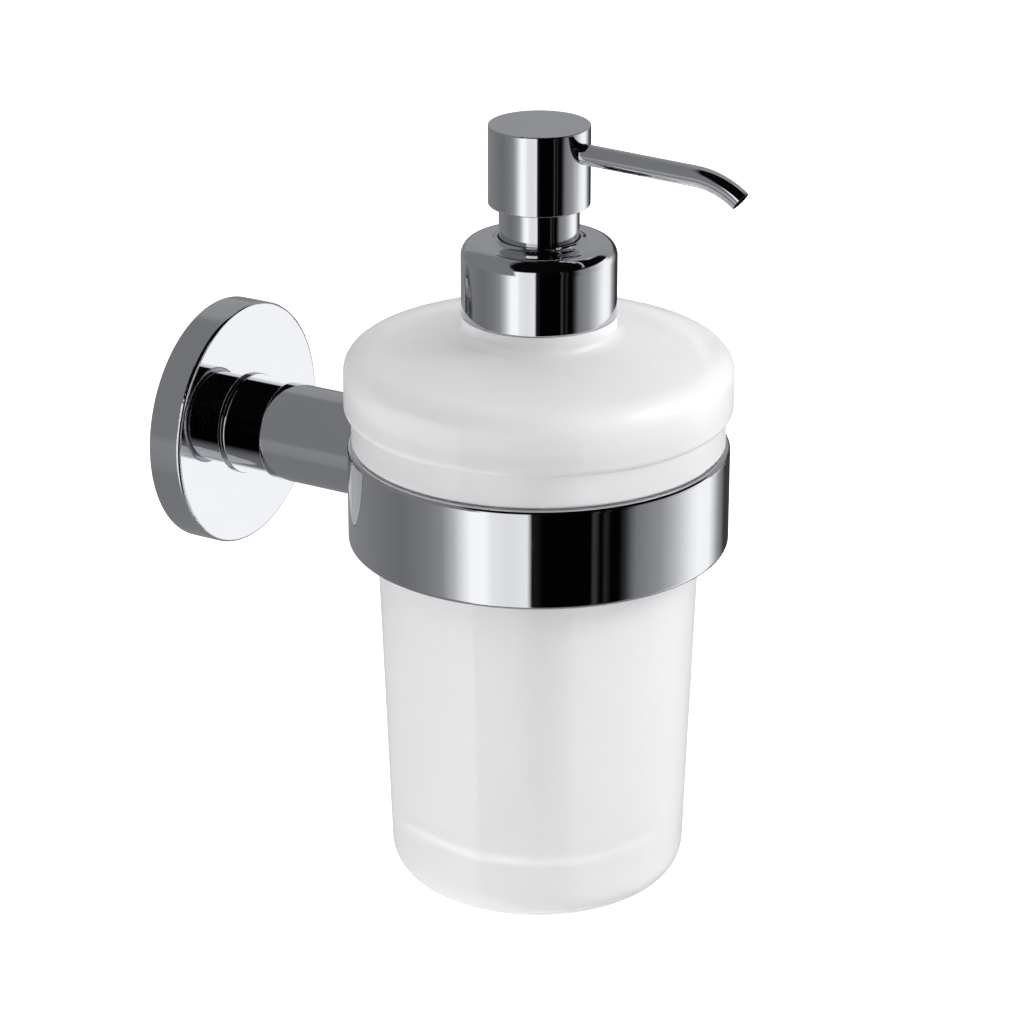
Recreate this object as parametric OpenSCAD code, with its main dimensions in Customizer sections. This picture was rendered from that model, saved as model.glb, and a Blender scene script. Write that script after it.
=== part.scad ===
// Wall mounted soap dispenser: a chrome bracket and ring carry a satin glass pump bottle.
// Origin: centre of the wall plate's back face, on the wall. +Z is up, -Y points out of the wall.

/* [Wall plate] */
// Diameter of the round wall plate
plate_d = 56.2; // [48:0.1:68]
// How far the wall plate stands out of the wall
plate_t = 8.2; // [7:0.1:12]
// Distance between the two wall screws
screw_pitch = 30; // [26:1:32]

/* [Arm] */
// Distance from the wall to the axis of the bottle
reach = 84.8; // [76:0.1:104]
// Diameter of the outer part of the arm
arm_d = 22.4; // [18:0.1:26]
// Length of the thinner part of the arm in front of the plate
arm_neck_len = 10; // [6:0.5:14]

/* [Ring] */
// Outside diameter of the ring
ring_d = 84; // [80:0.5:100]
// Height of the ring
ring_h = 22.5; // [18:0.5:30]
// Wall thickness of the ring
ring_wall = 2.6; // [2:0.1:3.5]
// How far the middle of the ring lies below the axis of the arm
ring_drop = 1.15; // [0:0.05:3]

/* [Bottle] */
// How far the bottle reaches below the top of the ring
bottle_depth = 102.6; // [80:1:125]
// Diameter of the foot of the bottle
foot_d = 66.2; // [56:0.2:70]
// Height of the wide shoulder above the ring
shoulder_h = 21.7; // [17:0.1:28]
// Wall thickness of the glass
glass_t = 4.4; // [3:0.1:6]

/* [Closure] */
// Outside diameter of the collar
collar_d = 33.8; // [32.8:0.1:38]
// Height of the collar
collar_h = 16.4; // [15.5:0.1:20]
// Pitch of the neck thread
thread_pitch = 3; // [2.5:0.1:3.2]

/* [Pump head] */
// Diameter of the pump head
head_d = 22; // [20.5:0.1:27]
// Height of the pump head
head_h = 17.5; // [14:0.1:22]
// How far the head can be pushed down
stroke = 6.8; // [5:0.1:7]
// Distance from the bottle's axis to the tip of the spout
spout_reach = 47.9; // [36:0.1:60]
// Outside diameter of the spout
spout_d = 4.5; // [4.2:0.1:6]
// How far the whole spout slopes down, in degrees
spout_slope = 1.8; // [0:0.2:6]
// How much further the end of the spout bends down, in degrees
spout_bend = 36; // [10:1:60]

/* [Hidden] */
$fn = 64;
e = 0.01;

// running fit between a sliding or turning pair
fit_r = 0.04;
// plain clearance beside moving pieces
gap = 0.3;

// wall plate and its hidden bracket
plate_r = plate_d / 2;
plate_front = 1.4;
cavity_r = plate_r - 5.8;
bracket_r = cavity_r - 0.1;
bracket_t = plate_t - plate_front - 0.6;
grub_r = 2;
grub_y = bracket_t / 2 + 0.9;
grub_tip = bracket_r - 0.6;

// arm
arm_r = arm_d / 2;
neck_r = arm_r - 0.8;
foot_r = arm_r + 0.5;
foot_t = 1;
sleeve_y = plate_t + arm_neck_len;
spigot_r = neck_r - 1;
spigot_len = 8;
bolt_r = 3;
bolt_len = arm_neck_len + 2;

// ring
ring_r = ring_d / 2;
ring_z1 = ring_h / 2 - ring_drop;
ring_z0 = ring_z1 - ring_h;
ring_in = ring_r - ring_wall;
lip_in = ring_in - 2;
lip_t = 1.4;
screw_r = 2;
screw_head_r = 3.6;
liner_out = ring_in - 0.15;
liner_in = liner_out - 1.5;
liner_z1 = ring_z1 + 0.15;

// bottle
seat_z = liner_z1 + 0.02;
foot_z = ring_z1 - bottle_depth;
foot_rr = foot_d / 2;
foot_round = 7.5;
body_r1 = min(ring_in - 2.9, foot_rr + 3.4);
waist_r = ring_r - 1;
waist_z = seat_z + 7.2;
disc_r = ring_r + 0.6;
disc_round = 5;
slope_a = 10;
disc_z = ring_z1 + shoulder_h - disc_round;
tan_r = disc_r - disc_round + disc_round * sin(slope_a);
tan_z = disc_z + disc_round * cos(slope_a);
collar_r = collar_d / 2;
band_r = collar_r + 0.1;
fillet_r = 2.6;
fillet_cr = band_r + fillet_r;
fillet_cz = tan_z + (tan_r - fillet_cr) * tan(slope_a) + fillet_r / cos(slope_a);
band_z = fillet_cz + 2.05;
finish_r = 12.55;
finish_h = 7.1;
rim_z = band_z + finish_h;
bore_r = 8.8;
floor_z = foot_z + 11.5;
cav_r0 = foot_rr - glass_t - 0.4;
cav_r1 = body_r1 - glass_t;
cav_round = 8;
cav_disc = waist_r - glass_t + 0.6;

// neck thread
crest_out = finish_r + 1;
tooth_root = 1.3;
tooth_crest = 0.7;
thread_z = band_z + 2.1;

// pump
gasket_t = 0.8;
flange_z = rim_z + 0.02 + gasket_t;
flange_t = 1;
flange_r = finish_r - 0.35;
guide_z = flange_z + flange_t;
guide_h = 2.7;
guide_r = 7.5;
barrel_in = 5.6;
barrel_out = 6.8;
barrel_len = 36;
barrel_z = guide_z - barrel_len;
plug_len = 4.6;
valve_h = 4.2;
ball_r = 2.4;
ball_lift = 1.2;
socket_len = 10;
tube_out = 2.5;
tube_in = 1.9;
stem_r = 3.1;
stem_bore = 1.6;
seal_top = guide_z - plug_len - 0.05;
seal_h = 6.4;
stem_z0 = seal_top - seal_h - 1.5;
spring_z0 = barrel_z + 0.02;
spring_z1 = stem_z0 - 0.05;
spring_r = 4.35;
wire_r = 0.42;

// collar
collar_z0 = band_z + 0.15;
collar_z1 = collar_z0 + collar_h;
shell_t = 0.9;
insert_r = collar_r - shell_t - 0.03;
insert_bore = crest_out + gap;
insert_z0 = collar_z0 + 0.3;
insert_top = guide_z + 0.05;
insert_web = 1.2;
skirt_r = 8.7;
skirt_in = 7.9;
skirt_hole = skirt_r + 0.3;
lip_h = 0.8;
lip_r = 2.6;
lip_x = skirt_hole + 0.4 + sqrt(lip_r * lip_r - (lip_r - lip_h) * (lip_r - lip_h));

// pump head
skirt_z0 = guide_z + stroke + 0.25;
head_z0 = collar_z1 + lip_h + stroke + 0.5;
head_z1 = head_z0 + head_h;
head_r = head_d / 2;
head_wall = 0.9;
core_r = head_r - head_wall - 0.1;
core_z0 = head_z0 + 1.1;
core_z1 = head_z1 - 1.3;
hub_z = guide_z + guide_h + stroke + 0.4;
spout_r = spout_d / 2;
spout_in = spout_r - 0.6;
spout_z = head_z1 - spout_r - 2.5;
stem_top = spout_z - spout_r - 1.6;
bend_r = 18.5;
bend_run = bend_r * (sin(spout_slope + spout_bend) - sin(spout_slope));
spout_y0 = 4;
ring_y = head_r - head_wall - 2.6;

// local Z becomes the direction out of the wall
module out_of_wall() {
    rotate([90, 0, 0]) children();
}

// moves to the bottle's axis
module at_bottle() {
    translate([0, -reach, 0]) children();
}

// a ring-shaped solid
module tube_z(ro, ri, z0, z1) {
    translate([0, 0, z0]) difference() {
        cylinder(r = ro, h = z1 - z0);
        translate([0, 0, -1]) cylinder(r = ri, h = z1 - z0 + 2);
    }
}

// a disc whose two outer edges are rounded
module soft_rect(r0, r1, z0, z1, rd) {
    translate([r0, z0 + rd]) square([r1 - r0, z1 - z0 - 2 * rd]);
    translate([r0, z0]) square([r1 - rd - r0, z1 - z0]);
    translate([r1 - rd, z0 + rd]) circle(r = rd);
    translate([r1 - rd, z1 - rd]) circle(r = rd);
}

// a round bar whose two end edges are rounded
module soft_bar(r, z0, z1, b0, b1) {
    rotate_extrude() {
        translate([0, z0 + b0]) square([r, z1 - z0 - b0 - b1]);
        translate([0, z0]) square([r - b0, z1 - z0]);
        translate([0, z0 + b0]) square([r - b1, z1 - z0 - b0]);
        translate([r - b0, z0 + b0]) circle(r = b0);
        translate([r - b1, z1 - b1]) circle(r = b1);
    }
}

// sweeps a small section along a helix, z rising by pitch each turn
module helix(section, pitch, a0, a1, z0, steps) {
    m = len(section);
    pts = [for (i = [0:steps]) for (q = section)
        let (a = a0 + (a1 - a0) * i / steps, z = z0 + pitch * a / 360)
        [q[0] * cos(a), q[0] * sin(a), q[1] + z]];
    sides = [for (i = [0:steps - 1]) for (j = [0:m - 1])
        let (p = i * m + j, q = i * m + (j + 1) % m) each [[p, q, q + m], [p, q + m, p + m]]];
    first = [for (j = [1:m - 2]) [0, j + 1, j]];
    last = [for (j = [1:m - 2]) [steps * m, steps * m + j, steps * m + j + 1]];
    polyhedron(points = pts, faces = concat(first, sides, last), convexity = 8);
}

// a thread tooth between two radii
function tooth(r_in, w_in, r_out, w_out) =
    [[r_in, -w_in / 2], [r_out, -w_out / 2], [r_out, w_out / 2], [r_in, w_in / 2]];

module wall_plate() {
    color([0.8, 0.8, 0.82]) difference() {
        out_of_wall() rotate_extrude() {
            square([plate_r - 0.8, plate_t]);
            translate([0, 0.3]) square([plate_r, plate_t - 1.1]);
            translate([plate_r - 0.3, 0.3]) circle(r = 0.3);
            translate([plate_r - 0.8, plate_t - 0.8]) circle(r = 0.8);
        }
        out_of_wall() translate([0, 0, -1]) cylinder(r = cavity_r, h = plate_t - plate_front + 1);
        out_of_wall() cylinder(r = bolt_r + 0.2, h = plate_t + 1);
        translate([0, -grub_y, -plate_r - 1]) cylinder(r = grub_r + 0.05, h = plate_r - cavity_r + 3);
    }
}

module mounting_bracket() {
    color([0.62, 0.63, 0.65]) difference() {
        out_of_wall() cylinder(r = bracket_r, h = bracket_t);
        out_of_wall() translate([0, 0, 2.2]) cylinder(r = 7.5, h = bracket_t);
        for (s = [-1, 1]) {
            translate([s * screw_pitch / 2, 0, 0]) out_of_wall() {
                translate([0, 0, -1]) cylinder(r = 2.25, h = bracket_t + 2);
                translate([0, 0, bracket_t - 2.8]) cylinder(r = 4.3, h = bracket_t);
            }
        }
        translate([0, -grub_y, -bracket_r - 1]) cylinder(r = grub_r + 0.3, h = 1.65);
    }
}

module plate_grub_screw() {
    color([0.55, 0.55, 0.57]) difference() {
        translate([0, -grub_y, -plate_r + 0.6]) cylinder(r = grub_r, h = plate_r - 0.6 - grub_tip);
        translate([0, -grub_y, -plate_r]) cylinder(r = 1.15, h = 2.8, $fn = 6);
    }
}

module arm_bolt() {
    color([0.55, 0.55, 0.57]) out_of_wall() difference() {
        union() {
            translate([0, 0, plate_t - plate_front - 3]) cylinder(r = 5, h = 3);
            translate([0, 0, plate_t - plate_front - e]) cylinder(r = bolt_r, h = bolt_len);
        }
        translate([0, 0, plate_t - plate_front - 4]) cylinder(r = 2.3, h = 3, $fn = 6);
    }
}

module arm_neck() {
    color([0.8, 0.8, 0.82]) out_of_wall() difference() {
        union() {
            soft_bar(foot_r, plate_t + 0.01, plate_t + 0.01 + foot_t, 0.15, 0.35);
            translate([0, 0, plate_t + foot_t / 2]) cylinder(r = neck_r, h = arm_neck_len - foot_t / 2);
            translate([0, 0, sleeve_y - e]) cylinder(r = spigot_r, h = spigot_len);
        }
        translate([0, 0, plate_t - 1]) cylinder(r = bolt_r + 0.04, h = bolt_len + 1.5);
    }
}

module arm_sleeve() {
    color([0.8, 0.8, 0.82]) difference() {
        out_of_wall() difference() {
            soft_bar(arm_r, sleeve_y + 0.01, reach - ring_r + 3, 0.35, 0.2);
            cylinder(r = spigot_r + 0.05, h = sleeve_y + spigot_len + 1);
            translate([0, 0, reach - ring_r - 8]) cylinder(r = screw_r + 0.04, h = 20);
        }
        at_bottle() translate([0, 0, -ring_h]) cylinder(r = ring_r + 0.02, h = 2 * ring_h);
    }
}

module holder_ring() {
    color([0.8, 0.8, 0.82]) difference() {
        at_bottle() rotate_extrude() difference() {
            soft_rect(lip_in - 2, ring_r, ring_z0, ring_z1, 1);
            translate([0, ring_z0 + lip_t]) square([ring_in, ring_h]);
            translate([0, ring_z0 - 1]) square([lip_in, 4]);
        }
        out_of_wall() {
            translate([0, 0, reach - ring_r - 2]) cylinder(r = screw_r + 0.2, h = ring_wall + 4);
            translate([0, 0, reach - ring_in - 1.7])
                cylinder(r1 = screw_r + 0.2, r2 = screw_head_r + 0.15, h = 1.5);
            translate([0, 0, reach - ring_in - 0.2 - e]) cylinder(r = screw_head_r + 0.15, h = 2);
        }
    }
}

module ring_screw() {
    color([0.6, 0.6, 0.62]) out_of_wall() difference() {
        union() {
            translate([0, 0, reach - ring_r - 5.5]) cylinder(r = screw_r, h = ring_wall + 5);
            translate([0, 0, reach - ring_in - 1.7])
                cylinder(r1 = screw_r, r2 = screw_head_r, h = 1.5);
        }
        translate([0, 0, reach - ring_in - 1.2]) cylinder(r = 1.2, h = 3, $fn = 6);
    }
}

module ring_liner() {
    color([0.9, 0.92, 0.94]) at_bottle() rotate_extrude() difference() {
        translate([liner_in, ring_z0 + lip_t + 0.05])
            square([liner_out - liner_in, liner_z1 - ring_z0 - lip_t - 0.05]);
        translate([liner_in - 1, ring_z0 + lip_t + 0.8]) square([1, 1]);
    }
}

// half section of the outside of the glass
module bottle_outside() {
    polygon([[0, foot_z], [foot_rr - foot_round, foot_z], [foot_rr - foot_round, foot_z + foot_round],
        [foot_rr, foot_z + foot_round], [body_r1, seat_z + 0.5], [0, seat_z + 0.5]]);
    translate([foot_rr - foot_round, foot_z + foot_round]) circle(r = foot_round);
    translate([0, seat_z + 0.8]) square([waist_r, waist_z - seat_z]);
    translate([0, seat_z]) square([waist_r - 0.8, waist_z - seat_z]);
    translate([waist_r - 0.8, seat_z + 0.8]) circle(r = 0.8);
    translate([0, waist_z + 2]) square([disc_r, disc_z - waist_z - 2]);
    translate([0, waist_z]) square([disc_r - 2, 4]);
    translate([disc_r - 2, waist_z + 2]) circle(r = 2);
    translate([disc_r - disc_round, disc_z]) circle(r = disc_round);
    polygon([[0, disc_z - 1], [disc_r - disc_round, disc_z - 1], [disc_r - disc_round, disc_z],
        [tan_r, tan_z], [band_r, tan_z + (tan_r - band_r) * tan(slope_a)],
        [band_r, band_z], [0, band_z]]);
    difference() {
        polygon([[band_r - 1, tan_z], [fillet_cr - fillet_r * sin(slope_a),
            fillet_cz - fillet_r * cos(slope_a)], [fillet_cr, fillet_cz], [band_r - 1, fillet_cz]]);
        translate([fillet_cr, fillet_cz]) circle(r = fillet_r);
    }
    translate([0, band_z - 1]) square([finish_r, finish_h + 1]);
}

// half section of the inside of the glass
module bottle_inside() {
    polygon([[0, floor_z], [cav_r0 - cav_round, floor_z], [cav_r0 - cav_round, floor_z + cav_round],
        [cav_r0, floor_z + cav_round], [cav_r1, seat_z], [cav_r1 + 1.2, waist_z - 0.5],
        [cav_disc, waist_z + 3.5], [cav_disc, disc_z - 2],
        [cav_disc - 4, tan_z - glass_t - 0.4], [bore_r + 4, fillet_cz - 5.2], [bore_r, fillet_cz - 2],
        [bore_r, rim_z + 1], [0, rim_z + 1]]);
    translate([cav_r0 - cav_round, floor_z + cav_round]) circle(r = cav_round);
}

module glass_bottle() {
    color([0.86, 0.89, 0.9]) at_bottle() {
        rotate_extrude() difference() {
            bottle_outside();
            bottle_inside();
        }
        helix(tooth(finish_r - 0.3, tooth_root, crest_out, tooth_crest),
            thread_pitch, 0, 360, thread_z, 36);
    }
}

module neck_gasket() {
    color([0.9, 0.9, 0.88]) at_bottle() tube_z(flange_r, barrel_out + 0.3, rim_z + 0.02, flange_z - e);
}

module pump_housing() {
    color([0.93, 0.93, 0.92]) at_bottle() difference() {
        union() {
            translate([0, 0, flange_z]) cylinder(r = flange_r, h = flange_t);
            translate([0, 0, barrel_z - 1.2]) cylinder(r = barrel_out, h = flange_z - barrel_z + 1.3);
            translate([0, 0, barrel_z - valve_h - socket_len - 2]) cylinder(r = 4.3, h = 20);
        }
        translate([0, 0, barrel_z]) cylinder(r = barrel_in, h = barrel_len + 2);
        translate([0, 0, barrel_z - 1.2 - e]) cylinder(r = ball_r - 0.4, h = 3);
        translate([0, 0, barrel_z - valve_h]) cylinder(r = ball_r + 0.3, h = valve_h - 0.6);
        translate([0, 0, barrel_z - valve_h - 1.3])
            cylinder(r1 = 1.3, r2 = ball_r + 0.3, h = 1.3 + e);
        translate([0, 0, barrel_z - valve_h - 3]) cylinder(r = 1.3, h = 3);
        translate([0, 0, barrel_z - valve_h - socket_len - 3])
            cylinder(r = tube_out + 0.02, h = socket_len + 1);
    }
}

module stem_guide() {
    color([0.93, 0.93, 0.92]) at_bottle() difference() {
        union() {
            translate([0, 0, guide_z + e]) cylinder(r = guide_r, h = guide_h - 0.6);
            translate([0, 0, guide_z + guide_h - 0.6 - e])
                cylinder(r1 = guide_r, r2 = guide_r - 0.6, h = 0.6);
            translate([0, 0, guide_z - plug_len]) cylinder(r = barrel_in - 0.02, h = plug_len + 1);
        }
        translate([0, 0, guide_z - plug_len - 1]) cylinder(r = stem_r + fit_r, h = 20);
    }
}

// centre line of the spring: closed first and last coil, open between
function coil_z(t, n, z0, z1) = let (w = 2 * wire_r * 1.02, h = z1 - z0 - 2 * wire_r - 2 * w)
    z0 + wire_r + (t < 1 ? t * w : t > n - 1 ? w + h + (t - n + 1) * w : w + (t - 1) / (n - 2) * h);

module pump_spring() {
    turns = 8;
    steps = turns * 20;
    m = 8;
    pts = [for (i = [0:steps]) for (j = [0:m - 1])
        let (a = 360 * turns * i / steps, b = 360 * j / m, r = spring_r + wire_r * cos(b))
        [r * cos(a), r * sin(a), coil_z(turns * i / steps, turns, spring_z0, spring_z1)
            + wire_r * sin(b)]];
    sides = [for (i = [0:steps - 1]) for (j = [0:m - 1])
        let (p = i * m + j, q = i * m + (j + 1) % m) each [[p, q, q + m], [p, q + m, p + m]]];
    first = [for (j = [1:m - 2]) [0, j + 1, j]];
    last = [for (j = [1:m - 2]) [steps * m, steps * m + j, steps * m + j + 1]];
    color([0.7, 0.7, 0.72]) at_bottle()
        polyhedron(points = pts, faces = concat(first, sides, last), convexity = 10);
}

// half the angle of the seat's cone, which the ball touches
seat_half = atan((ball_r + 0.3 - 1.3) / 1.3);

module inlet_ball() {
    cone_tip = barrel_z - valve_h - 1.3 - 1.3 / tan(seat_half);
    color([0.75, 0.75, 0.77]) at_bottle()
        translate([0, 0, cone_tip + ball_r / sin(seat_half) + 0.02]) sphere(r = ball_r);
}

module dip_tube() {
    top = barrel_z - valve_h - 3 - 0.5;
    color([0.92, 0.93, 0.93]) at_bottle() difference() {
        tube_z(tube_out, tube_in, floor_z + 2, top);
        translate([-5, -5, floor_z - 3]) rotate([30, 0, 0]) cube([10, 14, 5]);
    }
}

module piston_seal() {
    color([0.85, 0.87, 0.9]) at_bottle() rotate_extrude() difference() {
        translate([stem_r + fit_r, seal_top - seal_h]) square([barrel_in - 2 * fit_r - stem_r, seal_h]);
        translate([barrel_in - 0.7, seal_top - seal_h + 1.4]) square([2, seal_h - 2.8]);
    }
}

module piston_stem() {
    color([0.93, 0.93, 0.92]) at_bottle() difference() {
        union() {
            translate([0, 0, stem_z0]) cylinder(r = stem_r, h = stem_top - stem_z0);
            translate([0, 0, stem_z0]) cylinder(r = 4.7, h = 1.45);
        }
        translate([0, 0, stem_z0 - 1]) cylinder(r = stem_bore, h = stem_top - stem_z0 + 2);
    }
}

// local Z runs along the straight part of the spout, from the axis of the head
module spout_axis() {
    translate([0, 0, spout_z]) rotate([90 + spout_slope, 0, 0]) children();
}

module head_core() {
    color([0.93, 0.93, 0.92]) at_bottle() difference() {
        union() {
            translate([0, 0, core_z0]) cylinder(r = core_r, h = core_z1 - core_z0);
            translate([0, 0, hub_z]) cylinder(r = 5.6, h = core_z0 - hub_z + 1);
        }
        translate([0, 0, hub_z - 1]) cylinder(r = stem_r + 0.02, h = stem_top - hub_z + 1);
        translate([0, 0, stem_top - 1]) cylinder(r = stem_bore, h = spout_z - stem_top + 1);
        spout_axis() {
            cylinder(r = spout_in, h = 5);
            translate([0, 0, spout_y0 - 0.1]) cylinder(r = spout_r + 0.03, h = 20);
            translate([0, 0, ring_y]) cylinder(r = spout_r + 1.05, h = 20);
        }
    }
}

module head_shell() {
    color([0.8, 0.8, 0.82]) at_bottle() difference() {
        rotate_extrude() {
            difference() {
                union() {
                    translate([0, head_z0 + 0.3]) square([head_r, head_h - 0.6]);
                    translate([0, head_z0]) square([head_r - 0.3, head_h]);
                    translate([head_r - 0.3, head_z0 + 0.3]) circle(r = 0.3);
                    translate([head_r - 0.3, head_z1 - 0.3]) circle(r = 0.3);
                }
                translate([0, head_z0 + 1]) square([head_r - head_wall, head_h - 2.2]);
                square([skirt_in, head_z0 + 2]);
            }
            translate([skirt_in, skirt_z0]) square([skirt_r - skirt_in, head_z0 + 0.5 - skirt_z0]);
        }
        spout_axis() cylinder(r = spout_r + 0.03, h = head_r + 5);
    }
}

module spout_tube() {
    straight = (spout_reach - bend_run) / cos(spout_slope) - spout_y0;
    color([0.8, 0.8, 0.82]) at_bottle() translate([0, 0, spout_z]) rotate([spout_slope, 0, 0])
        translate([0, -spout_y0, 0]) {
            rotate([90, 0, 0]) difference() {
                cylinder(r = spout_r, h = straight);
                translate([0, 0, -1]) cylinder(r = spout_in, h = straight + 2);
            }
            translate([0, -straight, -bend_r])
                multmatrix([[0, 0, 1, 0], [0, -1, 0, 0], [1, 0, 0, 0], [0, 0, 0, 1]])
                rotate_extrude(angle = spout_bend) translate([bend_r, 0]) difference() {
                    circle(r = spout_r);
                    circle(r = spout_in);
                }
        }
}

module spout_o_ring() {
    color([0.15, 0.15, 0.15]) at_bottle() spout_axis() translate([0, 0, ring_y + 0.85])
        rotate_extrude() translate([spout_r + 0.49, 0]) circle(r = 0.45);
}

module collar_insert() {
    color([0.93, 0.93, 0.92]) at_bottle() {
        difference() {
            union() {
                translate([0, 0, insert_z0]) cylinder(r = insert_r, h = insert_top + insert_web - insert_z0);
                translate([0, 0, insert_top]) cylinder(r = skirt_hole + 1.6,
                    h = collar_z1 - shell_t - 0.02 - insert_top);
            }
            translate([0, 0, insert_z0 - 1]) cylinder(r = insert_bore, h = insert_top - insert_z0 + 1);
            translate([0, 0, insert_top - 1]) cylinder(r = skirt_hole, h = 20);
        }
        helix(tooth(crest_out - 0.7, tooth_crest, insert_bore + 0.3, tooth_root),
            thread_pitch, 90, 450, thread_z - thread_pitch / 2, 36);
    }
}

module collar_shell() {
    rd = 3.4;
    color([0.8, 0.8, 0.82]) at_bottle() rotate_extrude() {
        difference() {
            union() {
                translate([0, collar_z0 + 0.25]) square([collar_r, collar_h - rd - 0.25]);
                translate([0, collar_z0]) square([collar_r - 0.25, 1]);
                translate([collar_r - 0.25, collar_z0 + 0.25]) circle(r = 0.25);
                translate([0, collar_z0]) square([collar_r - rd, collar_h]);
                translate([collar_r - rd, collar_z1 - rd]) circle(r = rd);
                difference() {
                    translate([0, collar_z1 - e]) square([lip_x, lip_h + e]);
                    translate([lip_x, collar_z1 + lip_r]) circle(r = lip_r);
                }
            }
            translate([0, collar_z0 - 1]) square([collar_r - shell_t, collar_h - rd + 1]);
            translate([0, collar_z0]) square([collar_r - rd, collar_h - shell_t]);
            translate([collar_r - rd, collar_z1 - rd]) circle(r = rd - shell_t);
            square([skirt_hole, collar_z1 + 5]);
        }
    }
}

wall_plate();
mounting_bracket();
plate_grub_screw();
arm_bolt();
arm_neck();
arm_sleeve();
holder_ring();
ring_screw();
ring_liner();
glass_bottle();
neck_gasket();
pump_housing();
stem_guide();
pump_spring();
inlet_ball();
dip_tube();
piston_seal();
piston_stem();
head_core();
head_shell();
spout_tube();
spout_o_ring();
collar_insert();
collar_shell();
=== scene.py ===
import math

import bmesh
import bpy
from bpy.props import FloatProperty, FloatVectorProperty, IntProperty, PointerProperty
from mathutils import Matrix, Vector


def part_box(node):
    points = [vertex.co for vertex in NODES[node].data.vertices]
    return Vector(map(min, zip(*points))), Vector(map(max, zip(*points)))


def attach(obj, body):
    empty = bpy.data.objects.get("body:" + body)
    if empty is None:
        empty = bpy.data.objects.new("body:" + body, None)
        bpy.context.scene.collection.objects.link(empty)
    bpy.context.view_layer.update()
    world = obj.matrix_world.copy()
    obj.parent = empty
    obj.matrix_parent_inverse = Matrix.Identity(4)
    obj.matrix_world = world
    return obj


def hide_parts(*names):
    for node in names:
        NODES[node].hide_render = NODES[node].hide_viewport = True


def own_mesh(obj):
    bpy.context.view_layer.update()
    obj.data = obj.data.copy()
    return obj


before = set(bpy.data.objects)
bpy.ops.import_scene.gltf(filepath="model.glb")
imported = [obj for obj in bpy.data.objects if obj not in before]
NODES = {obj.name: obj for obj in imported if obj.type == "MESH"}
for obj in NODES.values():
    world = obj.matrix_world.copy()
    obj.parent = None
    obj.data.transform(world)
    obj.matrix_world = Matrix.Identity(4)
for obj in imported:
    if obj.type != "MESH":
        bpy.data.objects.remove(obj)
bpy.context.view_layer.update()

bl_info = {
    "name": "Wall Soap Dispenser",
    "version": (1, 0, 0),
    "blender": (4, 5, 0),
    "location": "3D View > Sidebar > Soap Dispenser",
    "description": "Finishes and lights a wall mounted soap dispenser with a satin glass bottle",
    "category": "Object",
}

MM = 0.001
GLASS_LOW, GLASS_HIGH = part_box("glass_bottle")
SPRING_LOW, SPRING_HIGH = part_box("pump_spring")


def grey(level):
    """Linear brightness of a grey card whose sRGB value is level, from 0 to 255."""
    c = level / 255
    return c / 12.92 if c <= 0.04045 else ((c + 0.055) / 1.055) ** 2.4


def srgb(code):
    """Turns a hex colour as a paint chart gives it into the linear colour that a shader uses."""
    return tuple(grey(int(code[i:i + 2], 16)) for i in (1, 3, 5))


def per_mm(size):
    """Texture scale, in features a metre, of a pattern whose features are size millimetres wide."""
    return 1 / (size * MM)


# ---------------------------------------------------------------- sizes and colours

class ChromeSettings(bpy.types.PropertyGroup):
    plate: FloatVectorProperty(
        name="Plate", description="Colour of the chromium layer", subtype="COLOR",
        size=3, min=0, max=1, default=srgb("#CDCED1"))
    haze: FloatProperty(
        name="Haze", description="Roughness of the polished plate", subtype="FACTOR",
        min=0, max=1, default=0.035)
    ripple: FloatProperty(
        name="Ripple", description="Width of the soft waves that buffing leaves",
        subtype="DISTANCE", unit="LENGTH", default=9 * MM)


class GlassSettings(bpy.types.PropertyGroup):
    tint: FloatVectorProperty(
        name="Tint", description="Colour of the etched glass", subtype="COLOR",
        size=3, min=0, max=1, default=srgb("#F9F9FA"))
    etch: FloatProperty(
        name="Etch", description="Roughness of the acid etched skin", subtype="FACTOR",
        min=0, max=1, default=0.4)
    clearness: FloatProperty(
        name="Clearness", description="Share of the light that goes through the glass",
        subtype="FACTOR", min=0, max=1, default=0.5)
    grain: FloatProperty(
        name="Grain", description="Width of the etched grain", subtype="DISTANCE",
        unit="LENGTH", default=0.35 * MM)


class MouldingSettings(bpy.types.PropertyGroup):
    white: FloatVectorProperty(
        name="White", description="Colour of the moulded pump parts", subtype="COLOR",
        size=3, min=0, max=1, default=srgb("#F1F1EE"))
    natural: FloatVectorProperty(
        name="Natural", description="Colour of the see-through tube and liner",
        subtype="COLOR", size=3, min=0, max=1, default=srgb("#EEF2F3"))
    rubber: FloatVectorProperty(
        name="Rubber", description="Colour of the spout's sealing ring", subtype="COLOR",
        size=3, min=0, max=1, default=srgb("#1C1C1D"))


class FixingSettings(bpy.types.PropertyGroup):
    zinc: FloatVectorProperty(
        name="Zinc", description="Colour of the plated wall bracket", subtype="COLOR",
        size=3, min=0, max=1, default=srgb("#B9BCBF"))
    steel: FloatVectorProperty(
        name="Steel", description="Colour of the stainless screws, spring and ball",
        subtype="COLOR", size=3, min=0, max=1, default=srgb("#BDBCB9"))


class SpringSettings(bpy.types.PropertyGroup):
    turns: IntProperty(
        name="Turns", description="Coils of the pump's return spring", default=8, min=4, max=14)
    wire: FloatProperty(
        name="Wire", description="Diameter of the spring wire", subtype="DISTANCE",
        unit="LENGTH", default=0.84 * MM)


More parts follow.
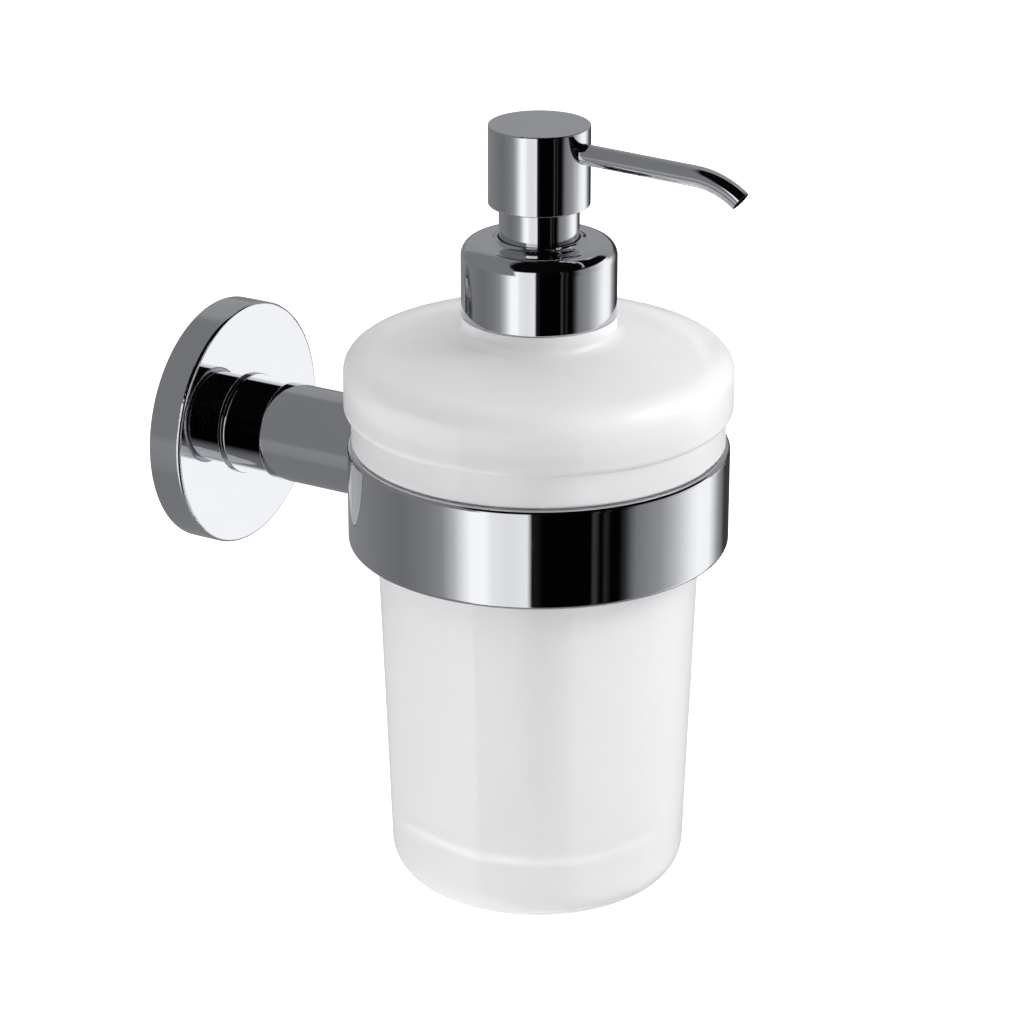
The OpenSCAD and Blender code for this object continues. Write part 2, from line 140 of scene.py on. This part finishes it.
class StageSettings(bpy.types.PropertyGroup):
    lens: FloatProperty(
        name="Lens", description="Focal length on a 36 mm sensor", subtype="DISTANCE_CAMERA",
        default=126.49)
    azimuth: FloatProperty(
        name="Azimuth", description="Side that the camera looks from", subtype="ANGLE",
        unit="ROTATION", default=math.radians(-59.81))
    elevation: FloatProperty(
        name="Elevation", description="Height of the camera above the horizon",
        subtype="ANGLE", unit="ROTATION", default=math.radians(21.94))
    distance: FloatProperty(
        name="Distance", description="From the camera to the point it aims at",
        subtype="DISTANCE", unit="LENGTH", default=792.5 * MM)
    floor_gap: FloatProperty(
        name="Floor gap", description="From the foot of the bottle down to the floor",
        subtype="DISTANCE", unit="LENGTH", default=0.45)


# ---------------------------------------------------------------- making materials

def add(tree, kind, inputs=None, **settings):
    """Adds one node, sets its values and joins it to the nodes or sockets that feed it."""
    node = tree.nodes.new(kind)
    for name, value in settings.items():
        setattr(node, name, value)
    for name, value in (inputs or {}).items():
        if isinstance(value, bpy.types.Node):
            value = value.outputs[0]
        if isinstance(value, bpy.types.NodeSocket):
            tree.links.new(value, node.inputs[name])
        else:
            node.inputs[name].default_value = value
    return node


def start(name, **sockets):
    """A new material, its tree, its Principled shader with these values, and object coordinates."""
    made = bpy.data.materials.new(name)
    made.use_nodes = True
    tree = made.node_tree
    tree.nodes.clear()
    shader = add(tree, "ShaderNodeBsdfPrincipled",
                 {name.replace("_", " "): value for name, value in sockets.items()})
    add(tree, "ShaderNodeOutputMaterial", {"Surface": shader.outputs[0]})
    place = add(tree, "ShaderNodeTexCoord").outputs["Object"]
    return made, tree, shader, place


# Where most of a cloudy pattern's values lie, and of two such patterns multiplied
ONE_CLOUD, TWO_CLOUDS = (0.3, 0.7), (0.1, 0.45)


def dress(tree, shader, colour, roughness=None, relief=None):
    """Lays patterns over a shader: a pattern, its lowest and highest value and what those become;
    for the relief, a pattern and how many millimetres it stands up."""
    pattern, (low, high), first, second = colour
    share = add(tree, "ShaderNodeMapRange", {"Value": pattern, "From Min": low, "From Max": high})
    mixed = add(tree, "ShaderNodeMix", {0: share, 6: (*first, 1), 7: (*second, 1)},
                data_type="RGBA")
    tree.links.new(mixed.outputs[2], shader.inputs["Base Color"])
    if roughness:
        pattern, (low, high), first, second = roughness
        rough = add(tree, "ShaderNodeMapRange",
                    {"Value": pattern, "From Min": low, "From Max": high,
                     "To Min": first, "To Max": second})
        tree.links.new(rough.outputs[0], shader.inputs["Roughness"])
    if relief:
        pattern, depth = relief
        bump = add(tree, "ShaderNodeBump",
                   {"Height": pattern, "Distance": depth * MM, "Strength": 1.0})
        tree.links.new(bump.outputs[0], shader.inputs["Normal"])


def tone(colour, factor):
    """The same colour, lighter or darker."""
    return tuple(min(1.0, c * factor) for c in colour)


def polished_chrome():
    """Chromium plated and mirror buffed brass: a cool bright mirror with the slightest waves."""
    s = bpy.context.scene.soap_chrome
    made, tree, shader, place = start("Polished_chrome_plate", Metallic=1.0)
    cloud = add(tree, "ShaderNodeTexNoise", {"Vector": place, "Scale": per_mm(14), "Detail": 3})
    # buffing leaves faint long wipes, seen only where the plate mirrors something dark
    drawn = add(tree, "ShaderNodeMapping", {"Vector": place, "Scale": (0.25, 1.0, 1.0)})
    wipes = add(tree, "ShaderNodeTexNoise", {"Vector": drawn, "Scale": per_mm(5), "Detail": 4})
    haze = add(tree, "ShaderNodeMath", {0: cloud, 1: wipes}, operation="MULTIPLY")
    waves = add(tree, "ShaderNodeTexNoise",
                {"Vector": place, "Scale": per_mm(s.ripple / MM), "Detail": 1})
    dress(tree, shader, colour=(cloud, ONE_CLOUD, tone(s.plate, 0.985), s.plate),
          roughness=(haze, TWO_CLOUDS, s.haze * 0.5, s.haze * 1.6), relief=(waves, 0.0016))
    return made


def etched_glass():
    """Soda lime glass dipped in acid: an even satin skin that scatters light, over a clear body."""
    s = bpy.context.scene.soap_glass
    made, tree, shader, place = start(
        "Acid_etched_glass", Metallic=0.0, IOR=1.5, Transmission_Weight=s.clearness)
    # the etched grain is about 0.05 mm wide and is drawn seven times as coarse, so that it shows
    grain = add(tree, "ShaderNodeTexNoise",
                {"Vector": place, "Scale": per_mm(s.grain / MM), "Detail": 2})
    patches = add(tree, "ShaderNodeTexNoise", {"Vector": place, "Scale": per_mm(22), "Detail": 2})
    both = add(tree, "ShaderNodeMath", {0: grain, 1: patches}, operation="MULTIPLY")
    dress(tree, shader, colour=(patches, ONE_CLOUD, tone(s.tint, 0.985), s.tint),
          roughness=(both, TWO_CLOUDS, s.etch * 0.94, s.etch * 1.06), relief=(grain, 0.008))
    return made


def moulded_white():
    """Injection moulded polypropylene: milky white, a waxy sheen and a fine spark eroded skin."""
    s = bpy.context.scene.soap_mouldings
    made, tree, shader, place = start(
        "Moulded_white_polypropylene", IOR=1.49, Subsurface_Weight=0.12,
        Subsurface_Radius=(1.2 * MM, 1.1 * MM, 1.0 * MM), Subsurface_Scale=1.0)
    drawn = add(tree, "ShaderNodeMapping", {"Vector": place, "Scale": (1.0, 1.0, 0.3)})
    flow = add(tree, "ShaderNodeTexNoise", {"Vector": drawn, "Scale": per_mm(9), "Detail": 3})
    skin = add(tree, "ShaderNodeTexNoise", {"Vector": place, "Scale": per_mm(0.25), "Detail": 2})
    dress(tree, shader, colour=(flow, ONE_CLOUD, tone(s.white, 0.955), s.white),
          roughness=(skin, ONE_CLOUD, 0.34, 0.46), relief=(skin, 0.01))
    return made


def natural_polymer(name, roughness, clearness, line_size):
    """Unpigmented extruded or rolled polymer: cloudy, see-through, with faint draw lines."""
    s = bpy.context.scene.soap_mouldings
    made, tree, shader, place = start(name, IOR=1.51, Transmission_Weight=clearness)
    drawn = add(tree, "ShaderNodeMapping", {"Vector": place, "Scale": (1.0, 1.0, 0.08)})
    lines = add(tree, "ShaderNodeTexNoise",
                {"Vector": drawn, "Scale": per_mm(line_size), "Detail": 3})
    dress(tree, shader, colour=(lines, ONE_CLOUD, tone(s.natural, 0.94), s.natural),
          roughness=(lines, ONE_CLOUD, roughness * 0.8, roughness * 1.25), relief=(lines, 0.006))
    return made


def nitrile_rubber():
    """Moulded nitrile rubber: near black, soft sheen, with a trace of pale mould powder."""
    s = bpy.context.scene.soap_mouldings
    made, tree, shader, place = start("Nitrile_rubber", IOR=1.52, Sheen_Weight=0.15)
    powder = add(tree, "ShaderNodeTexNoise", {"Vector": place, "Scale": per_mm(0.6), "Detail": 4})
    dress(tree, shader, colour=(powder, ONE_CLOUD, s.rubber, tone(s.rubber, 1.8)),
          roughness=(powder, ONE_CLOUD, 0.45, 0.62), relief=(powder, 0.008))
    return made


def foamed_gasket():
    """Closed cell polyethylene foam, die cut: matt white with small open cells at the cut."""
    made, tree, shader, place = start("Foamed_polyethylene", IOR=1.5, Roughness=0.8)
    cells = add(tree, "ShaderNodeTexVoronoi",
                {"Vector": place, "Scale": per_mm(0.5)}, feature="F1").outputs["Distance"]
    dress(tree, shader, colour=(cells, (0.0, 0.6), srgb("#F4F4F1"), srgb("#D9DAD6")),
          relief=(cells, 0.05))
    return made


def plated_zinc():
    """Bright zinc on pressed steel: soft grey spangle with a faint blue and straw cast."""
    s = bpy.context.scene.soap_fixings
    made, tree, shader, place = start("Zinc_plated_steel", Metallic=1.0)
    spangle = add(tree, "ShaderNodeTexVoronoi",
                  {"Vector": place, "Scale": per_mm(2.4)}, feature="F1").outputs["Color"]
    shade = add(tree, "ShaderNodeRGBToBW", {"Color": spangle})
    pits = add(tree, "ShaderNodeTexNoise", {"Vector": place, "Scale": per_mm(0.4), "Detail": 3})
    dress(tree, shader, colour=(shade, (0.0, 1.0), tone(s.zinc, 0.82), srgb("#C6C5BE")),
          roughness=(shade, ONE_CLOUD, 0.28, 0.42), relief=(pits, 0.01))
    return made


def stainless(name, roughness, line_size, stretch):
    """Stainless steel as rolled, drawn or ground: warm grey with fine tool lines."""
    s = bpy.context.scene.soap_fixings
    made, tree, shader, place = start(name, Metallic=1.0)
    drawn = add(tree, "ShaderNodeMapping", {"Vector": place, "Scale": stretch})
    lines = add(tree, "ShaderNodeTexNoise",
                {"Vector": drawn, "Scale": per_mm(line_size), "Detail": 3})
    dress(tree, shader, colour=(lines, ONE_CLOUD, tone(s.steel, 0.85), s.steel),
          roughness=(lines, ONE_CLOUD, roughness * 0.75, roughness * 1.3), relief=(lines, 0.004))
    return made


def finish(material, *names):
    """Gives these CAD nodes the material."""
    for name in names:
        node = NODES[name]
        if not node.material_slots:
            node.data.materials.append(material)
        for held in node.material_slots:
            held.material = material


# ---------------------------------------------------------------- pieces

class SOAP_OT_holder(bpy.types.Operator):
    """Plates the wall plate, the two parts of the arm and the ring"""
    bl_idname = "soap.holder"
    bl_label = "Chrome holder"

    def execute(self, context):
        finish(polished_chrome(), "wall_plate", "arm_neck", "arm_sleeve", "holder_ring")
        return {"FINISHED"}


class SOAP_OT_fixings(bpy.types.Operator):
    """Finishes the hidden wall bracket and the screws that hold the plate, arm and ring"""
    bl_idname = "soap.fixings"
    bl_label = "Bracket and screws"

    def execute(self, context):
        finish(plated_zinc(), "mounting_bracket")
        finish(stainless("Stainless_cold_headed", 0.3, 0.8, (1.0, 0.1, 1.0)),
               "plate_grub_screw", "arm_bolt", "ring_screw")
        return {"FINISHED"}


class SOAP_OT_liner(bpy.types.Operator):
    """Finishes the clear sleeve between the ring and the glass"""
    bl_idname = "soap.liner"
    bl_label = "Ring liner"

    def execute(self, context):
        finish(natural_polymer("Extruded_soft_pvc", 0.22, 0.75, 3.0), "ring_liner")
        return {"FINISHED"}


class SOAP_OT_bottle(bpy.types.Operator):
    """Etches the glass bottle"""
    bl_idname = "soap.bottle"
    bl_label = "Satin glass bottle"

    def execute(self, context):
        finish(etched_glass(), "glass_bottle")
        return {"FINISHED"}


class SOAP_OT_closure(bpy.types.Operator):
    """Finishes the screwed collar: its chrome shell and the white threaded insert"""
    bl_idname = "soap.closure"
    bl_label = "Collar"

    def execute(self, context):
        finish(bpy.data.materials["Polished_chrome_plate"], "collar_shell")
        finish(moulded_white(), "collar_insert")
        return {"FINISHED"}


class SOAP_OT_head(bpy.types.Operator):
    """Finishes the pump head, its stem, the spout and the spout's sealing ring"""
    bl_idname = "soap.head"
    bl_label = "Pump head"

    def execute(self, context):
        finish(bpy.data.materials["Polished_chrome_plate"], "head_shell", "spout_tube")
        finish(bpy.data.materials["Moulded_white_polypropylene"], "head_core", "piston_stem")
        finish(nitrile_rubber(), "spout_o_ring")
        return {"FINISHED"}


# Straight pieces that one coil of the spring is drawn with, and the share of the wire's radius
# that is drawn, so that the bent wire stays inside its own diameter
PIECES_A_TURN = 24
DRAWN_RADIUS = 0.995


def spring_wire(turns, wire, low, high, centre, radius):
    """Bent centre line of a compression spring whose first and last coils are closed."""
    step = wire * 1.02
    open_rise = high - low - wire - 2 * step
    for i in range(turns * PIECES_A_TURN + 1):
        t = i / PIECES_A_TURN
        if t < 1:
            z = t * step
        elif t > turns - 1:
            z = step + open_rise + (t - turns + 1) * step
        else:
            z = step + (t - 1) / (turns - 2) * open_rise
        a = 2 * math.pi * t
        yield Vector((centre.x + radius * math.cos(a), centre.y + radius * math.sin(a),
                      low + wire / 2 + z))


def sweep(name, path, radius, sides=14):
    """A closed round wire along a path, as one mesh with flat ends."""
    mesh = bpy.data.meshes.new(name)
    bm = bmesh.new()
    up = Vector((0, 0, 1))
    rings = []
    for i, p in enumerate(path):
        ahead = path[min(i + 1, len(path) - 1)] - path[max(i - 1, 0)]
        side = ahead.cross(up).normalized()
        over = side.cross(ahead).normalized()
        rings.append([bm.verts.new(p + radius * (side * math.cos(b) + over * math.sin(b)))
                      for b in (2 * math.pi * k / sides for k in range(sides))])
    for r0, r1 in zip(rings, rings[1:]):
        for k in range(sides):
            bm.faces.new((r0[k], r0[(k + 1) % sides], r1[(k + 1) % sides], r1[k]))
    bm.faces.new(rings[0][::-1])
    bm.faces.new(rings[-1])
    bmesh.ops.recalc_face_normals(bm, faces=bm.faces)
    for face in bm.faces:
        face.smooth = len(face.verts) == 4
    bm.to_mesh(mesh)
    bm.free()
    made = bpy.data.objects.new(name, mesh)
    bpy.context.scene.collection.objects.link(made)
    return made


class SOAP_OT_pump(bpy.types.Operator):
    """Finishes the pump inside the bottle and winds its return spring"""
    bl_idname = "soap.pump"
    bl_label = "Pump inside"

    def execute(self, context):
        s = context.scene.soap_spring
        finish(bpy.data.materials["Moulded_white_polypropylene"], "stem_guide")
        finish(natural_polymer("Moulded_natural_polypropylene", 0.35, 0.35, 4.0),
               "pump_housing", "piston_seal")
        finish(natural_polymer("Extruded_polyethylene_tube", 0.3, 0.6, 1.2), "dip_tube")
        finish(foamed_gasket(), "neck_gasket")
        finish(stainless("Stainless_ground_ball", 0.12, 0.5, (1.0, 1.0, 1.0)), "inlet_ball")
        centre = (SPRING_LOW + SPRING_HIGH) / 2
        radius = (SPRING_HIGH.x - SPRING_LOW.x) / 2 - s.wire / 2
        path = list(spring_wire(s.turns, s.wire, SPRING_LOW.z, SPRING_HIGH.z, centre, radius))
        spring = sweep("return_spring", path, s.wire / 2 * DRAWN_RADIUS)
        spring.data.materials.append(
            stainless("Stainless_drawn_wire", 0.25, 0.4, (1.0, 1.0, 1.0)))
        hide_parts("pump_spring")
        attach(spring, "pump")
        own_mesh(spring)
        return {"FINISHED"}


# ---------------------------------------------------------------- stage

def directions(azimuth, elevation):
    """Unit vectors from the object to the camera, to its right and up."""
    back = Vector((math.sin(azimuth) * math.cos(elevation),
                   -math.cos(azimuth) * math.cos(elevation), math.sin(elevation)))
    right = Vector((0, 0, 1)).cross(back).normalized()
    return back, right, back.cross(right)


# The camera aims this far left of the bottle's axis and below the middle of the wall plate
AIM_LEFT, AIM_BELOW = 5.82 * MM, 6.25 * MM


def place_camera(s):
    """A long lens that looks a little down on the dispenser from its left."""
    back, right, up = directions(s.azimuth, s.elevation)
    axis = (GLASS_LOW + GLASS_HIGH) / 2
    aim = Vector((axis.x, axis.y, 0)) - AIM_LEFT * right - AIM_BELOW * up
    data = bpy.data.cameras.new("Camera")
    data.lens, data.sensor_width = s.lens, 36
    data.clip_start, data.clip_end = 0.05, 50
    camera = bpy.data.objects.new("Camera", data)
    camera.location = aim + back * s.distance
    camera.rotation_mode = "QUATERNION"
    camera.rotation_quaternion = (-back).to_track_quat("-Z", "Y")
    bpy.context.scene.collection.objects.link(camera)
    bpy.context.scene.camera = camera


def lay_floor(s):
    """A wide white floor that the camera sees through from below and the chrome never mirrors."""
    size, z = 8.0, GLASS_LOW.z - s.floor_gap
    mesh = bpy.data.meshes.new("studio_floor")
    mesh.from_pydata([(x * size, y * size, z) for x, y in ((-1, -1), (1, -1), (1, 1), (-1, 1))],
                     [], [(0, 1, 2, 3)])
    floor = bpy.data.objects.new("studio_floor", mesh)
    made, tree, shader, place = start("White_studio_floor", Roughness=0.9, Specular_IOR_Level=0.1)
    clouds = add(tree, "ShaderNodeTexNoise", {"Vector": place, "Scale": per_mm(900), "Detail": 2})
    dress(tree, shader, colour=(clouds, ONE_CLOUD, srgb("#FAFAFA"), srgb("#FFFFFF")))
    shader.inputs["Emission Color"].default_value = (1, 1, 1, 1)
    shader.inputs["Emission Strength"].default_value = 0.5
    clear = add(tree, "ShaderNodeBsdfTransparent")
    below = add(tree, "ShaderNodeNewGeometry").outputs["Backfacing"]
    either = add(tree, "ShaderNodeMixShader", {0: below, 1: shader.outputs[0], 2: clear.outputs[0]})
    output = next(n for n in tree.nodes if n.type == "OUTPUT_MATERIAL")
    tree.links.new(either.outputs[0], output.inputs["Surface"])
    mesh.materials.append(made)
    floor.visible_glossy = floor.visible_diffuse = floor.visible_transmission = False
    bpy.context.scene.collection.objects.link(floor)


# What stands round the object, as seen from it: degrees from the camera's side, positive to the
# camera's right, and the grey that polished chrome shows when it mirrors that panel
PANELS = (
    (-180, 112), (-150, 118), (-125, 116), (-90, 104), (-72, 116), (-60, 132), (-52, 175),
    (-47, 214), (-41, 246), (-32, 246), (-28, 226), (-18, 219), (-6.5, 226), (-4.6, 20),
    (-1, 20), (2, 2), (31, 2), (33, 60), (36, 4), (38, 4), (40, 40), (43, 3), (49, 3), (53, 44),
    (60, 112), (78, 141), (90, 180), (104, 230), (112, 243), (124, 238), (137, 140), (150, 50),
)
# Cards that hang over those panels, in order: the grey that chrome shows of one, and its places.
# A place is a list of edges, each a direction and the two values between which the card goes from
# not there to full
CARDS = (
    # behind
    (135, ((("front", -0.40, -0.62), ("up", 0.04, 0.16)),)),
    # a black flag over the front, which leaves the left side free and reaches further back on the
    # right, where the arm's neck mirrors it by way of the plate
    (5, ((("up", 0.36, 0.46), ("front", -0.40, -0.28), ("inward", 0.40, 0.26)),
         (("up", 0.24, 0.34), ("front", -0.62, -0.50), ("side", 0.50, 0.62)))),
    # above
    (135, ((("up", 0.7, 0.8), ("front", -0.28, -0.40)),)),
    # below
    (120, ((("up", -0.6, -0.85),),)),
    # on the left, but for a gap below the level of the eye, and the strip near the wall that the
    # arm and the plate's rim mirror
    (113, ((("side", -0.52, -0.62), ("up", -0.20, -0.05)),
           (("side", -0.52, -0.62), ("up", -0.50, -0.60)),
           (("inward", 0.36, 0.44), ("front", -0.75, -0.60), ("up", -0.20, -0.05)),
           (("inward", 0.36, 0.44), ("front", -0.75, -0.60), ("up", -0.50, -0.60)))),
)
# Light that the satin glass takes: the heights between which it takes over from the row before,
# and its brightness on the left and on the right
SOFT_LIGHT = (
    (-3.0, -2.0, 1.24, 1.32),
    (0.02, 0.4, 0.62, 0.98),
    (-0.15, -0.6, 3.1, 0.45),
)
# Share of the light that polished chrome mirrors
CHROME_SHINE = 0.62
# Brightest light in the colour ramp, whose own colours stop at 1
RAMP_TOP = 2.5
# Brightness of the backdrop that the camera sees
BACKDROP = 1.05


def card(level):
    """Light of a card that chrome mirrors as this grey; a white one is neutral, a grey one cold."""
    light = grey(level) / CHROME_SHINE
    cold = 0.045 if level < 200 else 0.008
    return light, light * (1 + cold / 3), light * (1 + cold)


def ring_of_panels(tree, toward):
    """The panels that stand round the object, by their direction seen from above."""
    turn = add(tree, "ShaderNodeMath", {0: toward["side"], 1: toward["front"]},
               operation="ARCTAN2")
    share = add(tree, "ShaderNodeMapRange",
                {"Value": turn, "From Min": -math.pi, "From Max": math.pi})
    ramp = add(tree, "ShaderNodeValToRGB", {0: share})
    stops = ramp.color_ramp.elements
    while len(stops) > 1:
        stops.remove(stops[0])
    for i, (angle, level) in enumerate(PANELS):
        at = angle / 360 + 0.5
        stop = stops[0] if i == 0 else stops.new(at)
        stop.position = at
        stop.color = (*(c / RAMP_TOP for c in card(level)), 1)
    return add(tree, "ShaderNodeMix", {0: 1.0, 6: ramp, 7: (RAMP_TOP, RAMP_TOP, RAMP_TOP, 1)},
               data_type="RGBA", blend_type="MULTIPLY").outputs[2]


def light_for_chrome(tree, toward):
    """What mirrors show: the panels, and the cards over them."""
    shade = ring_of_panels(tree, toward)
    for level, places in CARDS:
        share = 0.0
        for edges in places:
            there = 1.0
            for direction, low, high in edges:
                edge = add(tree, "ShaderNodeMapRange",
                           {"Value": toward[direction], "From Min": low, "From Max": high},
                           interpolation_type="SMOOTHSTEP")
                there = add(tree, "ShaderNodeMath", {0: there, 1: edge}, operation="MULTIPLY")
            share = add(tree, "ShaderNodeMath", {0: share, 1: there}, operation="MAXIMUM")
        shade = add(tree, "ShaderNodeMix", {0: share, 6: shade, 7: (*card(level), 1)},
                    data_type="RGBA").outputs[2]
    return shade


def light_for_glass(tree, toward):
    """Broad light for satin surfaces: brighter from the right, but from below on the left."""
    soft = 0.0
    for low, high, left, right in SOFT_LIGHT:
        share = add(tree, "ShaderNodeMapRange",
                    {"Value": toward["up"], "From Min": low, "From Max": high},
                    interpolation_type="SMOOTHSTEP")
        across = add(tree, "ShaderNodeMapRange",
                     {"Value": toward["side"], "From Min": -0.8, "From Max": 0.8,
                      "To Min": left, "To Max": right})
        soft = add(tree, "ShaderNodeMix", {0: share, 2: soft, 3: across})
    overhead = add(tree, "ShaderNodeMapRange",
                   {"Value": toward["up"], "From Min": 0.5, "From Max": 0.9,
                    "To Min": 1.0, "To Max": 1.35}, interpolation_type="SMOOTHSTEP")
    behind = add(tree, "ShaderNodeMapRange",
                 {"Value": toward["front"], "From Min": 0.1, "From Max": -0.6,
                  "To Min": 0.98, "To Max": 1.46})
    for more in (overhead, behind):
        soft = add(tree, "ShaderNodeMath", {0: soft, 1: more}, operation="MULTIPLY")
    return soft


def hang_world(s):
    """Soft studio light; mirrors, satin surfaces and the camera each see their own part of it."""
    world = bpy.data.worlds.new("Soft_studio")
    world.use_nodes = True
    tree = world.node_tree
    tree.nodes.clear()
    away = add(tree, "ShaderNodeTexCoord").outputs["Generated"]
    # front is the camera's side, side its right, and inward goes to the wall
    ca, sa = math.cos(s.azimuth), math.sin(s.azimuth)
    axes = {"front": (sa, -ca, 0), "side": (ca, sa, 0), "inward": (0, 1, 0), "up": (0, 0, 1)}
    toward = {name: add(tree, "ShaderNodeVectorMath", {0: away, 1: axis},
                        operation="DOT_PRODUCT").outputs["Value"]
              for name, axis in axes.items()}

    path = add(tree, "ShaderNodeLightPath").outputs
    solid = add(tree, "ShaderNodeMath", {0: 1.0, 1: path["Is Transmission Ray"]},
                operation="SUBTRACT")
    mirrored = add(tree, "ShaderNodeMath", {0: path["Is Glossy Ray"], 1: solid},
                   operation="MULTIPLY")
    light = add(tree, "ShaderNodeMix", {0: mirrored, 6: light_for_glass(tree, toward),
                                        7: light_for_chrome(tree, toward)}, data_type="RGBA")
    seen = add(tree, "ShaderNodeMix", {0: path["Is Camera Ray"], 6: light.outputs[2],
                                       7: (BACKDROP, BACKDROP, BACKDROP, 1)}, data_type="RGBA")
    shine = add(tree, "ShaderNodeBackground", {"Color": seen.outputs[2], "Strength": 1.0})
    add(tree, "ShaderNodeOutputWorld", {0: shine})
    bpy.context.scene.world = world


def hang_softbox(name, azimuth, elevation, distance, size, power):
    """A round soft light aimed at the bottle, which lights the glass only."""
    back = directions(azimuth, elevation)[0]
    data = bpy.data.lights.new(name, "AREA")
    data.shape, data.size, data.energy = "DISK", size, power
    lamp = bpy.data.objects.new(name, data)
    lamp.location = (GLASS_LOW + GLASS_HIGH) / 2 + back * distance
    lamp.rotation_mode = "QUATERNION"
    lamp.rotation_quaternion = (-back).to_track_quat("-Z", "Y")
    bpy.context.scene.collection.objects.link(lamp)
    lit = bpy.data.collections.new(name + "_lights_up")
    lit.objects.link(NODES["glass_bottle"])
    lamp.light_linking.receiver_collection = lit


# The soft light on the camera's right: angles, distance and size in metres, and watts
SOFTBOX_TURN, SOFTBOX_RISE = math.radians(75), math.radians(34)
SOFTBOX_AWAY, SOFTBOX_SIZE, SOFTBOX_POWER = 0.34, 0.12, 0.5


class SOAP_OT_stage(bpy.types.Operator):
    """Sets the camera, the pale floor and the soft studio light"""
    bl_idname = "soap.stage"
    bl_label = "Camera, floor and light"

    def execute(self, context):
        s = context.scene.soap_stage
        place_camera(s)
        lay_floor(s)
        hang_world(s)
        hang_softbox("Softbox_right", s.azimuth + SOFTBOX_TURN, SOFTBOX_RISE, SOFTBOX_AWAY,
                     SOFTBOX_SIZE, SOFTBOX_POWER)
        context.scene.view_settings.view_transform = "Standard"
        return {"FINISHED"}


class SOAP_PT_sidebar(bpy.types.Panel):
    """Lists the steps that finish the dispenser, with their sizes and colours"""
    bl_idname = "SOAP_PT_sidebar"
    bl_label = "Soap Dispenser"
    bl_space_type = "VIEW_3D"
    bl_region_type = "UI"
    bl_category = "Soap Dispenser"

    def draw(self, context):
        for step in STEPS:
            self.layout.operator(step.bl_idname, text=step.bl_label)
        for name, group in SETTINGS.items():
            box = self.layout.box()
            for prop in group.__annotations__:
                box.prop(getattr(context.scene, name), prop)


STEPS = (SOAP_OT_stage, SOAP_OT_holder, SOAP_OT_fixings, SOAP_OT_liner, SOAP_OT_bottle,
         SOAP_OT_closure, SOAP_OT_head, SOAP_OT_pump)
SETTINGS = {
    "soap_chrome": ChromeSettings,
    "soap_glass": GlassSettings,
    "soap_mouldings": MouldingSettings,
    "soap_fixings": FixingSettings,
    "soap_spring": SpringSettings,
    "soap_stage": StageSettings,
}


def register():
    """Adds the settings, the steps and the panel to Blender."""
    for group in (*SETTINGS.values(), *STEPS, SOAP_PT_sidebar):
        bpy.utils.register_class(group)
    for name, group in SETTINGS.items():
        setattr(bpy.types.Scene, name, PointerProperty(type=group))


def unregister():
    """Takes them away again."""
    for name in SETTINGS:
        delattr(bpy.types.Scene, name)
    for group in (SOAP_PT_sidebar, *reversed(STEPS), *SETTINGS.values()):
        bpy.utils.unregister_class(group)


def main():
    """Runs every step in order."""
    register()
    for step in STEPS:
        family, _, action = step.bl_idname.partition(".")
        getattr(getattr(bpy.ops, family), action)()


if __name__ == "__main__":
    main()
